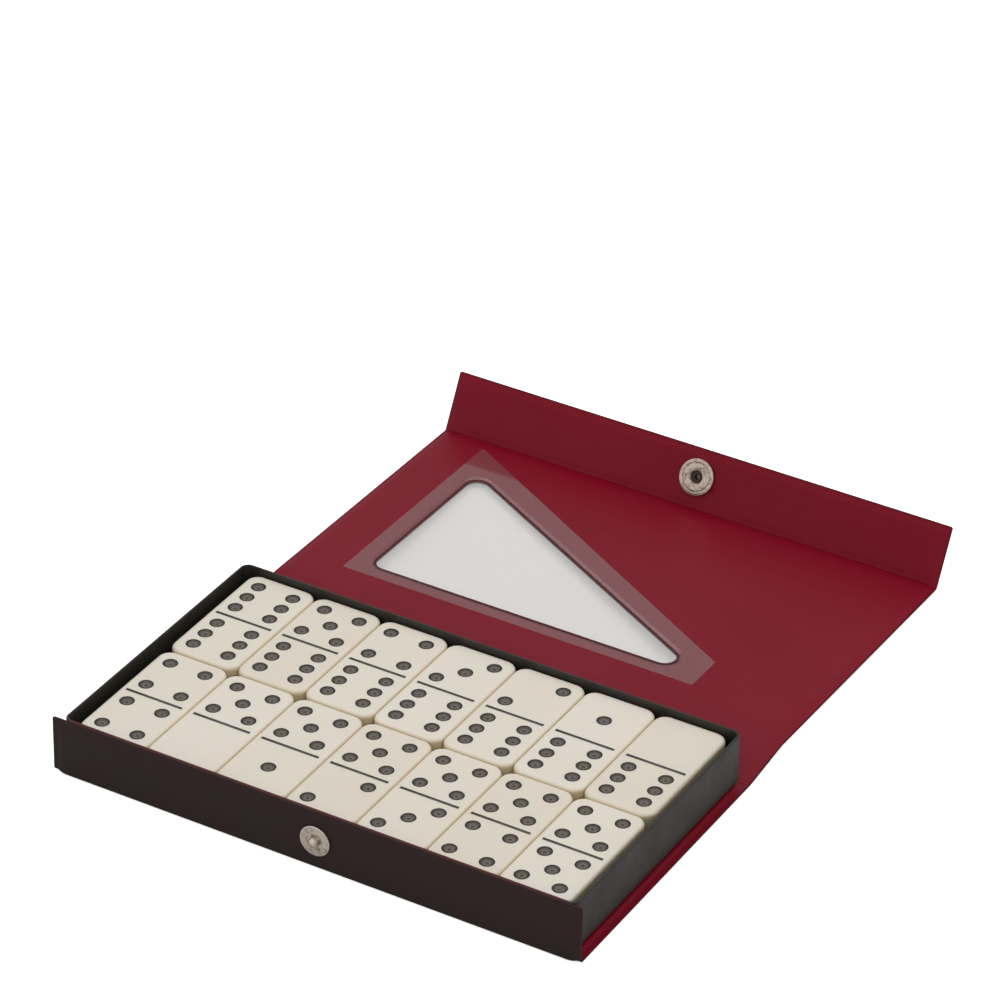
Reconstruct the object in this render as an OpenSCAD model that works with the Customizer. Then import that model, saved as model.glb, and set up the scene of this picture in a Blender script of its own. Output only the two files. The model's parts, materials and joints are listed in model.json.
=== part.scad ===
// Domino storage box: a folding vinyl wallet with a tray, a windowed lid, a snap and 28 dominoes.
// Millimetres. The origin is the middle of the base's underside.
// X runs along the case, Y to the back and Z up.
// It is drawn open, as it lies on a table with the flap half folded.

/* [Dominoes] */
// Width of a domino, along the case
tile_w = 23.8; // [20:0.1:30]
// Length of a domino, across the case
tile_l = 48.7; // [44:0.1:60]
// Thickness of a domino
tile_t = 7.3; // [6:0.1:12]
// Radius of a domino's upright corners
tile_corner_r = 4.2; // [1.6:0.1:5]
// Radius of a domino's long and short edges
tile_edge_r = 1.2; // [0.4:0.1:1.5]
// Space between neighbours in a row
tile_gap_x = 0.2; // [0.1:0.05:1]
// Space between the front and the back row
tile_gap_y = 0.5; // [0.1:0.05:2]
// Diameter of a pip at the face
pip_d = 4.8; // [3:0.1:5.6]
// Width of the sloping wall inside a pip
pip_slope = 0.45; // [0.1:0.05:0.8]
// Depth of a pip
pip_depth = 0.4; // [0.2:0.05:0.8]
// Diameter of the drill mark in the middle of a pip
pip_mark_d = 1.1; // [0.5:0.1:1.6]
// Depth of the drill mark below the pip's floor
pip_mark_depth = 0.3; // [0.1:0.05:0.5]
// Distance of a pip column from a domino's middle line
pip_x = 6.25; // [5.6:0.05:7.5]
// Distance between two pip rows
pip_y = 6.6; // [5.8:0.05:7.5]
// Distance of a half's middle pip from the dividing line
half_mid = 11.7; // [10.5:0.1:13.5]
// Length of the dividing line
line_l = 20; // [12:0.5:22]
// Width of the dividing line
line_w = 1.1; // [0.6:0.1:2]
// Depth of the dividing line
line_depth = 0.4; // [0.2:0.05:0.8]

/* [Tray] */
// Free space between the dominoes and each end wall
tray_room_x = 2.9; // [0.5:0.1:8]
// Free space between the dominoes and the front and back walls
tray_room_y = 0.25; // [0.2:0.05:4]
// Thickness of the tray's walls
tray_wall = 0.8; // [0.5:0.05:2]
// Thickness of the tray's floor
tray_floor = 0.9; // [0.5:0.05:3]
// Height of the rim above the upper dominoes
tray_rim = 2.1; // [0.5:0.1:6]
// Inner radius of the tray's upright corners
tray_corner_r = 2.1; // [1.8:0.1:4.5]
// Radius of the rim's outer edge
rim_r = 0.4; // [0.1:0.05:0.45]

/* [Vinyl panels] */
// Thickness of the outer and of the inner vinyl
vinyl_t = 0.35; // [0.2:0.05:0.6]
// Thickness of the stiff boards
board_t = 0.9; // [0.6:0.05:2]
// Width of the flat weld along every edge and fold
weld_w = 1.8; // [1.2:0.1:4]
// Radius of the welded panels' upright corners over the board
pad_corner_r = 1.2; // [1:0.1:3]
// Radius of the free corners of the flap and of the front panel
free_corner_r = 1.2; // [0.5:0.1:6]
// Length of case beyond the tray at each end
case_side = 2.7; // [1:0.1:10]
// Space between the tray and the closed spine
back_room = 0.2; // [0.1:0.05:3]
// Height of the front panel above the tray's rim
front_rise = 0.5; // [0.2:0.1:4]
// Space between the front panel and the closed lid
lid_room = 0.5; // [0.4:0.05:4]
// Distance of the flap's fold in front of the closed front panel
flap_room = 2; // [1.8:0.1:6]
// Depth of the flap, from its fold to its free edge
flap_d = 20.3; // [17:0.1:21]
// Clearance between the two halves of a fold
fold_gap = 0.06; // [0.02:0.01:0.2]

/* [Window and film] */
// Distance from the case's left edge to the window
window_left = 23.9; // [12:0.1:40]
// Distance from the flap's fold to the window's upper tip
window_top = 19.5; // [16:0.1:30]
// Length of the window's side along the case
window_w = 119.9; // [60:0.1:130]
// Length of the window's side across the case
window_h = 66.7; // [40:0.1:72]
// Radius of the window's corners
window_r = 4.2; // [1:0.1:8]
// Width of the flat weld round the window
window_weld = 1.2; // [0.8:0.1:2.5]
// Thickness of the clear film
film_t = 0.25; // [0.1:0.05:0.35]
// Overlap of the film at the window's upright side
film_side = 6.6; // [4:0.1:10]
// Overlap of the film at the window's side nearest the spine
film_foot = 5.8; // [4:0.1:10]
// Distance from the window's upper tip to the film's upper corner, across the case
film_top = 14.6; // [8:0.1:16]
// Length of the film's right end, across the case
film_end = 14.9; // [10:0.1:20]
// Distance of the film's right end from the window's right tip
film_cut = 1; // [0.5:0.1:4]

/* [Snap fastener] */
// Distance of the snap from the middle of the case
snap_x = 1.8; // [-40:0.1:40]
// Distance of the socket's middle from the flap's fold
snap_drop = 10.9; // [9:0.1:12]
// Diameter of the stud's foot
stud_foot_d = 10.2; // [8:0.1:11]
// Thickness of the stud's foot
stud_foot_h = 0.55; // [0.4:0.05:0.7]
// Diameter of the stud's knob
knob_d = 3.4; // [2.8:0.1:3.6]
// Height of the knob above the stud's foot
knob_h = 1.85; // [1.2:0.05:1.9]
// Diameter of the socket
socket_d = 12; // [10:0.1:13]
// Height of the socket above the flap
socket_h = 1.4; // [1.2:0.05:1.45]
// Height of the socket's domed top above its wall
socket_crown = 0.2; // [0.1:0.05:0.25]
// Diameter of the socket's hole
socket_hole_d = 4.5; // [4.2:0.1:5]
// Thickness of the snap's sheet metal
snap_metal = 0.28; // [0.2:0.02:0.35]
// Wire diameter of the spring ring in the socket
spring_wire = 0.4; // [0.3:0.05:0.5]
// Diameter of the cap outside the flap
cap_d = 12.4; // [10:0.1:14]
// Height of the cap's dome
cap_h = 1.2; // [0.8:0.1:2]
// Diameter of the posts that pass through the panels
post_d = 2.4; // [1.8:0.1:2.6]
// Wall of the posts
post_wall = 0.3; // [0.2:0.05:0.5]
// Diameter of the eyelet's flange behind the front panel
eyelet_d = 8.4; // [6:0.1:10]
// Clearance round the posts
post_clear = 0.1; // [0.05:0.05:0.3]

/* [Open pose] */
// Rise of the spine from its fold at the base, in degrees
spine_rise = 7; // [0:0.5:20]
// Fold of the flap from the lid's plane, in degrees
flap_open = 64; // [0:1:78]
// Lean of the closed flap away from the front panel, in degrees
flap_lean = 10; // [9:0.5:14]

/* [Hidden] */
$fn = 48;
arc_steps = 16;
metal_steps = 6;
over = 0.5;
highest = 6;
columns = highest + 1;

panel_t = board_t + 2 * vinyl_t;
mid = panel_t / 2;
pad_r = mid / 2;
post_hole_d = post_d + 2 * post_clear;

pitch_x = tile_w + tile_gap_x;
pitch_y = tile_l + tile_gap_y;
tray_in_w = columns * pitch_x - tile_gap_x + 2 * tray_room_x;
tray_in_d = 2 * pitch_y - tile_gap_y + 2 * tray_room_y;
tray_w = tray_in_w + 2 * tray_wall;
tray_d = tray_in_d + 2 * tray_wall;
tray_h = tray_floor + 2 * tile_t + tray_rim;
tile_z = panel_t + tray_floor;
rim_z = panel_t + tray_h;

case_w = tray_w + 2 * case_side;
front_h = rim_z + front_rise;
front_y = -tray_d / 2 - panel_t;
front_mid = front_y + mid;
fold_y = tray_d / 2 + mid + back_room;
spine_d = front_h + lid_room;
lid_d = fold_y - front_y + flap_room;
lid_slope = asin(spine_d * sin(spine_rise) / lid_d);

nose = vinyl_t;
fold_start = nose + fold_gap;
board_in = weld_w + vinyl_t;

snap_z = mid + spine_d - snap_drop * cos(flap_lean) - (mid + socket_h) * sin(flap_lean);

window = [
    [window_left - case_w / 2, lid_d - window_top],
    [window_left - case_w / 2, lid_d - window_top - window_h],
    [window_left - case_w / 2 + window_w, lid_d - window_top - window_h]
];

// Which domino lies where: [far half, near half] from left to right
upper_back = [[6, 6], [5, 6], [4, 6], [3, 6], [2, 6], [1, 6], [0, 6]];
upper_front = [[4, 4], [5, 0], [5, 1], [5, 2], [5, 3], [5, 4], [5, 5]];
lower_back = [[4, 3], [4, 2], [4, 1], [4, 0], [3, 3], [3, 2], [3, 1]];
lower_front = [[3, 0], [2, 2], [2, 1], [2, 0], [1, 1], [1, 0], [0, 0]];
rows = [lower_front, lower_back, upper_front, upper_back];

function tile_name(halves) = str("tile_", max(halves), "_", min(halves));
tile_names = [for (row = rows) for (halves = row) tile_name(halves)];

vinyl_black = "#2d2826";
vinyl_red = "#7d1626";
board_grey = "#8d8676";
nickel = "#c9c3b8";

// Pip places in one half, as columns and rows from its middle
function pips(n) = concat(
    n % 2 == 1 ? [[0, 0]] : [],
    n > 1 ? [[-1, -1], [1, 1]] : [],
    n > 3 ? [[-1, 1], [1, -1]] : [],
    n == 6 ? [[-1, 0], [1, 0]] : []
);

// A corner p of a polygon moved by m along both of its edges' inward normals, with neighbours a and b
function unit(v) = v / norm(v);
function inset_corner(p, a, b, m) =
    let (ua = unit(a - p), ub = unit(b - p)) p + (ua + ub) * m / abs(cross(ua, ub));
function inset(tri, m) = [
    for (i = [0:2]) inset_corner(tri[i], tri[(i + 1) % 3], tri[(i + 2) % 3], m)
];
// Outward normal of the edge from a to b of a triangle that runs anticlockwise
function edge_normal(a, b) = unit([b[1] - a[1], a[0] - b[0]]);

// Arc of radius r about c, from the unit vector u to the unit vector v
function arc(c, r, u, v, steps = arc_steps) =
    let (turn = acos(u * v))
    [
        for (k = [0:steps])
            let (t = k / steps)
            c + r * (u * sin((1 - t) * turn) + v * sin(t * turn)) / sin(turn)
    ];

// Triangle with round corners, grown by m
module round_triangle(tri, r, m) {
    centres = inset(tri, r);
    polygon([
        for (i = [0:2])
            let (before = edge_normal(centres[(i + 2) % 3], centres[i]),
                 after = edge_normal(centres[i], centres[(i + 1) % 3]))
            each arc(centres[i], r + m, before, after)
    ]);
}

// Upright section from the middle line: width w, height h, radius low below and high above
module section(w, h, low, high) {
    low_x = w / 2 - low;
    high_x = w / 2 - high;
    translate([-w / 2, low]) square([w, h - low - high]);
    if (low > 0) {
        translate([-low_x, 0]) square([2 * low_x, low]);
        for (side = [-1, 1]) translate([side * low_x, low]) circle(low);
    }
    if (high > 0) {
        translate([-high_x, h - high]) square([2 * high_x, high]);
        for (side = [-1, 1]) translate([side * high_x, h - high]) circle(high);
    }
}

// Block with round upright corners and round lower and upper edges, standing on z = 0
module block(w, d, h, corner, low, high) {
    for (x = [-1, 1], y = [-1, 1])
        translate([x * (w / 2 - corner), y * (d / 2 - corner), 0])
            rotate_extrude()
                intersection() {
                    section(2 * corner, h, low, high);
                    square([corner, h]);
                }
    translate([0, d / 2 - corner, 0]) rotate([90, 0, 0])
        linear_extrude(d - 2 * corner) section(w, h, low, high);
    translate([corner - w / 2, 0, 0]) rotate([90, 0, 90])
        linear_extrude(w - 2 * corner) section(d, h, low, high);
}

// Places on the open case: each panel runs along +Y from its fold, with its lining on the +Z side
module on_spine() {
    translate([0, fold_y, mid]) rotate([spine_rise, 0, 0]) children();
}
module on_lid() {
    on_spine() translate([0, spine_d, 0]) rotate([-spine_rise - lid_slope, 0, 0]) children();
}
module on_flap() {
    on_lid() translate([0, lid_d, 0]) rotate([flap_open, 0, 0]) children();
}

// Round nose of a fold, on the side of the middle plane that z points to
module fold_nose(side) {
    rotate([90, 0, 90]) linear_extrude(case_w, center = true)
        intersection() {
            circle(nose);
            translate([-nose, side > 0 ? 0 : -nose]) square([2 * nose, nose]);
        }
}

// Flat welded edge of one vinyl sheet, from v0 to v1
module weld(side, v0, v1) {
    translate([-case_w / 2, v0, side > 0 ? 0 : -vinyl_t]) cube([case_w, v1 - v0, vinyl_t]);
}

// One vinyl sheet raised over its board, from v0 to v1
module pad(side, v0, v1) {
    translate([0, (v0 + v1) / 2, 0]) mirror([0, 0, side > 0 ? 0 : 1])
        block(case_w - 2 * weld_w, v1 - v0, mid, pad_corner_r, 0, pad_r);
}

// Stiff board of a panel of depth d, in the pocket between the two sheets
module board(d) {
    translate([board_in - case_w / 2, board_in, -board_t / 2])
        cube([case_w - 2 * board_in, d - 2 * board_in, board_t]);
}

// One sheet of a panel between two folds
module panel_skin(side, d) {
    difference() {
        union() {
            weld(side, fold_start, d);
            translate([0, d, 0]) fold_nose(side);
            pad(side, weld_w, d - weld_w);
        }
        board(d);
    }
}

// One sheet with round free corners at v1
module free_weld(side, v0, v1) {
    weld(side, v0, v1 - free_corner_r);
    translate([0, v1 - free_corner_r, side > 0 ? 0 : -vinyl_t]) {
        translate([free_corner_r - case_w / 2, -free_corner_r, 0])
            cube([case_w - 2 * free_corner_r, 2 * free_corner_r, vinyl_t]);
        for (end = [-1, 1])
            translate([end * (case_w / 2 - free_corner_r), 0, 0])
                cylinder(r = free_corner_r, h = vinyl_t);
    }
}

// Base and front panel: one sheet bent up at the front
module base_skin(side) {
    base_run = fold_y - front_mid;
    front_run = front_h - mid;
    weld_start = side > 0 ? 0 : -vinyl_t;
    pad_start = side > 0 ? 0 : -mid;
    difference() {
        translate([0, front_mid, mid]) {
            weld(side, weld_start, base_run);
            translate([0, base_run, 0]) fold_nose(side);
            pad(side, pad_start, base_run - weld_w);
            rotate([90, 0, 0]) {
                free_weld(-side, 0, front_run);
                pad(-side, pad_start, front_run - weld_w);
            }
        }
        base_board_shape();
        front_board_shape();
    }
}

module base_board_shape() {
    translate([board_in - case_w / 2, front_mid + mid, vinyl_t])
        cube([case_w - 2 * board_in, fold_y - board_in - front_mid - mid, board_t]);
}

module front_board_shape() {
    translate([board_in - case_w / 2, front_mid - board_t / 2, mid])
        cube([case_w - 2 * board_in, board_t, front_h - board_in - mid]);
}

// Hole through the front panel for the stud's post
module stud_hole() {
    translate([snap_x, front_mid, snap_z]) rotate([90, 0, 0])
        cylinder(d = post_hole_d, h = panel_t + over, center = true);
}

// Hole through the flap for the cap's post
module cap_hole() {
    translate([snap_x, snap_drop, 0]) cylinder(d = post_hole_d, h = panel_t + over, center = true);
}

// Window through the lid, m wider all round
module window_cut(m, z0, z1) {
    translate([0, 0, z0]) linear_extrude(z1 - z0) round_triangle(window, window_r, m);
}

module base_cover() {
    color(vinyl_black) difference() {
        base_skin(-1);
        stud_hole();
    }
}

module base_lining() {
    color(vinyl_red) difference() {
        base_skin(1);
        stud_hole();
        translate([snap_x, -tray_d / 2 - vinyl_t, snap_z]) rotate([-90, 0, 0])
            cylinder(d = eyelet_d + 2 * post_clear, h = vinyl_t + over);
    }
}

module base_board() {
    color(board_grey) base_board_shape();
}

module front_board() {
    color(board_grey) difference() {
        front_board_shape();
        stud_hole();
    }
}

module spine_cover() {
    color(vinyl_black) on_spine() panel_skin(-1, spine_d);
}

module spine_lining() {
    color(vinyl_red) on_spine() panel_skin(1, spine_d);
}

module spine_board() {
    color(board_grey) on_spine() board(spine_d);
}

// One sheet of the lid: flat round the window, raised elsewhere
module lid_skin(side) {
    difference() {
        union() {
            weld(side, fold_start, lid_d);
            translate([0, lid_d, 0]) fold_nose(side);
            difference() {
                pad(side, weld_w, lid_d - weld_w);
                window_cut(window_weld, -panel_t, panel_t);
            }
        }
        window_cut(0, -panel_t, panel_t);
        lid_board_shape();
    }
}

module lid_board_shape() {
    difference() {
        board(lid_d);
        window_cut(window_weld + vinyl_t, -panel_t, panel_t);
    }
}

module lid_cover() {
    color(vinyl_black) on_lid() lid_skin(-1);
}

module lid_lining() {
    color(vinyl_red) on_lid() lid_skin(1);
}

module lid_board() {
    color(board_grey) on_lid() lid_board_shape();
}

// Film: a triangle larger than the window, with its right tip cut off
module window_film() {
    left = window[0][0] - film_side;
    right = window[2][0] - film_cut;
    foot = window[1][1] - film_foot;
    color("#e8e4e0") on_lid() translate([0, 0, mid]) linear_extrude(film_t)
        polygon([
            [left, foot],
            [right, foot],
            [right, foot + film_end],
            [left, window[0][1] + film_top]
        ]);
}

// One sheet of the flap
module flap_skin(side) {
    difference() {
        union() {
            free_weld(side, fold_start, flap_d);
            pad(side, weld_w, flap_d - weld_w);
        }
        board(flap_d);
        cap_hole();
    }
}

module flap_cover() {
    color(vinyl_black) on_flap() flap_skin(-1);
}

module flap_lining() {
    color(vinyl_red) on_flap() flap_skin(1);
}

module flap_board() {
    color(board_grey) on_flap() difference() {
        board(flap_d);
        cap_hole();
    }
}

// Thin tray with round corners and a round foot
module tray() {
    foot = tile_edge_r;
    color("#211e1d") translate([0, 0, panel_t]) difference() {
        block(tray_w, tray_d, tray_h, tray_corner_r + tray_wall, foot + tray_wall, rim_r);
        translate([0, 0, tray_floor])
            block(tray_in_w, tray_in_d, tray_h, tray_corner_r, foot, 0);
    }
}

// Snap parts stand on z = 0 with their axis along Z
module ring(r_in, r_out, z0, z1) {
    translate([r_in, z0]) square([r_out - r_in, z1 - z0]);
}

module snap_stud() {
    foot_r = stud_foot_d / 2;
    foot_round = stud_foot_h / 2;
    bore_r = post_hole_d / 2;
    head_r = knob_d / 2;
    neck_r = head_r - snap_metal / 2;
    groove_r = head_r + 4 * snap_metal;
    top = stud_foot_h + knob_h;
    color(nickel) translate([snap_x, front_y, snap_z]) rotate([90, 0, 0])
        rotate_extrude() difference() {
            union() {
                ring(0, foot_r - foot_round, 0, stud_foot_h);
                translate([foot_r - foot_round, foot_round]) circle(foot_round);
                ring(0, neck_r, 0, stud_foot_h + 2 * snap_metal);
                intersection() {
                    translate([0, top - head_r]) circle(head_r);
                    translate([0, stud_foot_h + snap_metal]) square([head_r, top]);
                }
            }
            ring(head_r + snap_metal / 2, groove_r, stud_foot_h - snap_metal, top);
            translate([-foot_r, -over]) square([foot_r, top + 2 * over]);
            ring(0, bore_r, -over, stud_foot_h + knob_h / 2);
        }
}

module stud_eyelet() {
    post_r = post_d / 2;
    reach = panel_t + stud_foot_h + knob_h / 2 - post_clear;
    color(nickel) translate([snap_x, -tray_d / 2, snap_z]) rotate([90, 0, 0])
        rotate_extrude() {
            ring(post_r - post_wall, eyelet_d / 2, 0, vinyl_t);
            ring(post_r - post_wall, post_r, 0, reach);
        }
}

module on_snap(height) {
    on_flap() translate([snap_x, snap_drop, height]) children();
}

// Sheet metal shell: flat below, bent up at the rim and domed round the hole
module snap_socket() {
    outer = socket_d / 2;
    half = (outer - socket_hole_d / 2) / 2;
    bend = snap_metal * 1.5;
    bend_mid = [outer - bend, bend];
    crown_r = (half * half + socket_crown * socket_crown) / (2 * socket_crown);
    crown_mid = [outer - half, socket_h - crown_r];
    under_r = crown_r - snap_metal;
    to_rim = [half, crown_r - socket_crown] / crown_r;
    to_hole = [-to_rim[0], to_rim[1]];
    to_wall = [half - snap_metal, sqrt(pow(under_r, 2) - pow(half - snap_metal, 2))] / under_r;
    color(nickel) on_snap(mid) rotate_extrude() polygon(concat(
        [[post_hole_d / 2, snap_metal], [post_hole_d / 2, 0]],
        arc(bend_mid, bend, [0, -1], [1, 0], metal_steps),
        arc(crown_mid, crown_r, to_rim, to_hole, metal_steps),
        arc(crown_mid, under_r, to_hole, to_wall, metal_steps),
        arc(bend_mid, bend - snap_metal, [1, 0], [0, -1], metal_steps)
    ));
}

module socket_spring() {
    height = (socket_h - socket_crown) / 2;
    color("silver") on_snap(mid + height) rotate([0, 0, 20])
        rotate_extrude(angle = 325) translate([socket_hole_d / 2, 0]) circle(spring_wire / 2);
}

module snap_cap() {
    post_r = post_d / 2;
    dome_r = (pow(cap_d / 2, 2) + pow(cap_h, 2)) / (2 * cap_h);
    reach = panel_t + snap_metal;
    color(nickel) on_snap(-mid) {
        mirror([0, 0, 1]) rotate_extrude() intersection() {
            difference() {
                translate([0, cap_h - dome_r]) circle(dome_r);
                translate([0, cap_h - dome_r]) circle(dome_r - snap_metal);
            }
            square([cap_d / 2, cap_h]);
        }
        rotate_extrude() {
            ring(post_r - post_wall, post_r, snap_metal - cap_h, reach);
            ring(post_r - post_wall, post_r + post_wall + post_clear, reach, reach + snap_metal / 2);
        }
    }
}

// Recess of one pip, with its floor's drill mark
module pip_cut() {
    translate([0, 0, tile_t - pip_depth]) {
        cylinder(d1 = pip_d - 2 * pip_slope, d2 = pip_d, h = pip_depth);
        translate([0, 0, pip_depth]) cylinder(d = pip_d, h = over);
        translate([0, 0, -pip_mark_depth]) cylinder(d1 = 0, d2 = pip_mark_d, h = pip_mark_depth);
    }
}

module tile(halves) {
    color("#e6ddca") difference() {
        block(tile_w, tile_l, tile_t, tile_corner_r, tile_edge_r, tile_edge_r);
        for (half = [0, 1], p = pips(halves[half]))
            translate([p[0] * pip_x, (1 - 2 * half) * half_mid + p[1] * pip_y, 0]) pip_cut();
        translate([-line_l / 2, -line_w / 2, tile_t - line_depth])
            cube([line_l, line_w, line_depth + over]);
    }
}

// Middle of a domino's underside, by row and column
function tile_place(row, column) = [
    (column - (columns - 1) / 2) * pitch_x,
    (row % 2 - 0.5) * pitch_y,
    tile_z + floor(row / 2) * tile_t
];

base_cover();
base_board();
front_board();
base_lining();
spine_cover();
spine_board();
spine_lining();
lid_cover();
lid_board();
lid_lining();
window_film();
flap_cover();
flap_board();
flap_lining();
tray();
snap_stud();
stud_eyelet();
snap_socket();
socket_spring();
snap_cap();
for (row = [0:len(rows) - 1], column = [0:columns - 1])
    translate(tile_place(row, column)) tile(rows[row][column]);
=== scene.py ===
import json
import math

import bmesh
import bpy
from mathutils import Matrix, Vector, noise
from mathutils.geometry import delaunay_2d_cdt

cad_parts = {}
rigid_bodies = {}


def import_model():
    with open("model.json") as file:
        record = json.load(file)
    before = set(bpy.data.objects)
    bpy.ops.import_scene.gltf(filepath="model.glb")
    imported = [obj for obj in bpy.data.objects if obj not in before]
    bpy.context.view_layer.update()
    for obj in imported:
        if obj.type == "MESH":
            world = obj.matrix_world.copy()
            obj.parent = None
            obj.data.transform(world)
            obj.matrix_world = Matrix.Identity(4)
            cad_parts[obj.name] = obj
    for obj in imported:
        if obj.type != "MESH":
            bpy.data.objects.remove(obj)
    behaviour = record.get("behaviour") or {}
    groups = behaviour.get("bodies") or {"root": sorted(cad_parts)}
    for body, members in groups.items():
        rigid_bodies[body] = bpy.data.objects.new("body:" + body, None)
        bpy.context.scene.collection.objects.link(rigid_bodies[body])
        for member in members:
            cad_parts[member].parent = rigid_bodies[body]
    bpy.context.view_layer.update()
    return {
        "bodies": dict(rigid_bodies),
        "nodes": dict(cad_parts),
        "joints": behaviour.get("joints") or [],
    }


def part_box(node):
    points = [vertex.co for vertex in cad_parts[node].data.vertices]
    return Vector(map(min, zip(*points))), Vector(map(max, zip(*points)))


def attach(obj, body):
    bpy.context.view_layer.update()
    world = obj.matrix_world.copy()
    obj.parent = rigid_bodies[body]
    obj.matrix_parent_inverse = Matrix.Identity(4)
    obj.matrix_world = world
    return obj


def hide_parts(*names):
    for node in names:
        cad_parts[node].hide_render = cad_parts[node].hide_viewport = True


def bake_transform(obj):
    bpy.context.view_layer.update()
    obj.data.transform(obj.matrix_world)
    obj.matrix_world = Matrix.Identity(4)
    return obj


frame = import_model()
cadNodes = frame["nodes"]
mm = 0.001
print("Frame loaded:", len(cadNodes), "solids")


def addObject(name, data):
    made = bpy.data.objects.new(name, data)
    bpy.context.scene.collection.objects.link(made)
    return made


# Camera at the photo's angle, found from the corners of the case and the pips
photoCamera = {
    "place": (0.645407, -1.071419, 0.890758), "lookAt": (-0.045952, 0.135396, 0.010),
    "roll": 1.1345, "lens": 185.204, "sensor": 36.0, "clip": (0.05, 20),
}


def placeCamera(view):
    eye, target = Vector(view["place"]), Vector(view["lookAt"])
    forward = (target - eye).normalized()
    level = forward.cross(Vector((0, 0, 1))).normalized()
    upright = level.cross(forward)
    turn = math.radians(view["roll"])
    right = level * math.cos(turn) + upright * math.sin(turn)
    up = upright * math.cos(turn) - level * math.sin(turn)
    matrix = Matrix((right, up, -forward)).transposed().to_4x4()
    matrix.translation = eye
    data = bpy.data.cameras.new("PhotoCamera")
    data.lens, data.sensor_width = view["lens"], view["sensor"]
    data.clip_start, data.clip_end = view["clip"]
    camera = addObject("PhotoCamera", data)
    camera.matrix_world = matrix
    bpy.context.scene.camera = camera


placeCamera(photoCamera)
print("Camera placed")


def linearColour(hexCode):
    channels = [int(hexCode[i:i + 2], 16) / 255 for i in (1, 3, 5)]
    return tuple(
        c / 12.92 if c <= 0.04045 else ((c + 0.055) / 1.055) ** 2.4 for c in channels
    ) + (1.0,)


# Each input is a value, a colour's hex code or the socket that feeds it
def addNode(tree, kind, inputs=None, **settings):
    node = tree.nodes.new(kind)
    for name, value in settings.items():
        setattr(node, name, value)
    for name, value in (inputs or {}).items():
        if isinstance(value, bpy.types.NodeSocket):
            tree.links.new(value, node.inputs[name])
            continue
        if isinstance(value, str) and value.startswith("#"):
            value = linearColour(value)
        node.inputs[name].default_value = value
    return node


def calculate(tree, operation, *terms):
    return addNode(tree, "ShaderNodeMath", dict(enumerate(terms)), operation=operation).outputs[0]


def remap(tree, value, source, target, interpolation="LINEAR"):
    return addNode(tree, "ShaderNodeMapRange", {
        "Value": value, "From Min": source[0], "From Max": source[1],
        "To Min": target[0], "To Max": target[1],
    }, interpolation_type=interpolation).outputs[0]


# Cloudy pattern, its patches about size mm wide
def noisePattern(tree, place, size, detail, roughness=0.5):
    return addNode(tree, "ShaderNodeTexNoise", {
        "Vector": place, "Scale": 1 / (size * mm), "Detail": detail, "Roughness": roughness,
    }).outputs["Fac"]


def mixColours(tree, share, first, second):
    return addNode(
        tree, "ShaderNodeMix", {0: share, 6: first, 7: second}, data_type="RGBA",
    ).outputs[2]


# Place measured from a middle in units of the size given per axis
def centredPlace(tree, place, middlePoint, size):
    return addNode(
        tree, "ShaderNodeMapping", {"Vector": place, "Location": middlePoint, "Scale": size},
        vector_type="TEXTURE",
    ).outputs[0]


def bump(tree, height, look):
    return addNode(tree, "ShaderNodeBump", {
        "Strength": look["relief"], "Distance": look["reliefDepth"] * mm, "Height": height,
    }).outputs[0]


# A shader function takes tree, object coordinates and look, and returns its last node
def makeMaterial(name, shaderFunction, look):
    material = bpy.data.materials.new(name)
    material.use_nodes = True
    tree = material.node_tree
    tree.nodes.clear()
    place = addNode(tree, "ShaderNodeTexCoord").outputs["Object"]
    shader = shaderFunction(tree, place, look)
    addNode(tree, "ShaderNodeOutputMaterial", {"Surface": shader.outputs[0]})
    return material


# Plain white studio: a pale floor, a bright surround and two large soft lights
studio = {
    "floorSize": 6.0,
    "floorColour": "#f4f4f3",
    "floorHeight": -0.0002, "bounceHeight": -0.0004,
    "floorGlow": 0.72,  # lifts the floor in view to clean white
    "shadeGlow": 0.36,  # the same in the lid's shade, where the paper is greyer
    "shadeColour": "#bdbdbc",
    "shadePlace": (0.0, 0.1235, 0.0), "shadeHalf": (0.086, 0.050, 0.004),
    "shadeSoft": 0.12,  # share of the shade's half size over which it fades
    "surroundColour": "#ffffff",
    "surroundBack": 0.50, "surroundFront": 0.80,
    "surroundFade": 0.6,  # front and back blend between these sides of the middle
    "softLights": [
        # name, place, aim, size, watts
        ("KeySoftbox", (0.55, 0.70, 1.15), (0, 0.05, 0), 0.9, 3.6),
        ("TopSoftbox", (-0.62, 0.62, 1.30), (0, 0.05, 0), 1.2, 2.6),
    ],
}


def paperShader(tree, place, look):
    return addNode(tree, "ShaderNodeBsdfDiffuse", {"Color": look["floorColour"]})


# The glow falls off in the shade under the lid, which shows through the window. The shade
# keeps to the lid's body, so a lifted lid leaves none on the paper
def glowingPaperShader(tree, place, look):
    lidPlace = addNode(tree, "ShaderNodeTexCoord", object=frame["bodies"]["lid"])
    offset = centredPlace(
        tree, lidPlace.outputs["Object"], look["shadePlace"], look["shadeHalf"],
    )
    axes = addNode(tree, "ShaderNodeSeparateXYZ", {0: offset}).outputs
    across, along, above = (calculate(tree, "ABSOLUTE", axis) for axis in axes)
    away = calculate(tree, "MAXIMUM", calculate(tree, "MAXIMUM", across, along), above)
    light = remap(tree, away, (1 - look["shadeSoft"], 1.0), (0.0, 1.0), "SMOOTHSTEP")
    colour = mixColours(tree, light, look["shadeColour"], look["floorColour"])
    strength = remap(tree, light, (0.0, 1.0), (look["shadeGlow"], look["floorGlow"]))
    paper = addNode(tree, "ShaderNodeBsdfDiffuse", {"Color": colour})
    glow = addNode(tree, "ShaderNodeEmission", {"Strength": strength})
    return addNode(tree, "ShaderNodeAddShader", {0: paper.outputs[0], 1: glow.outputs[0]})


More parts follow.
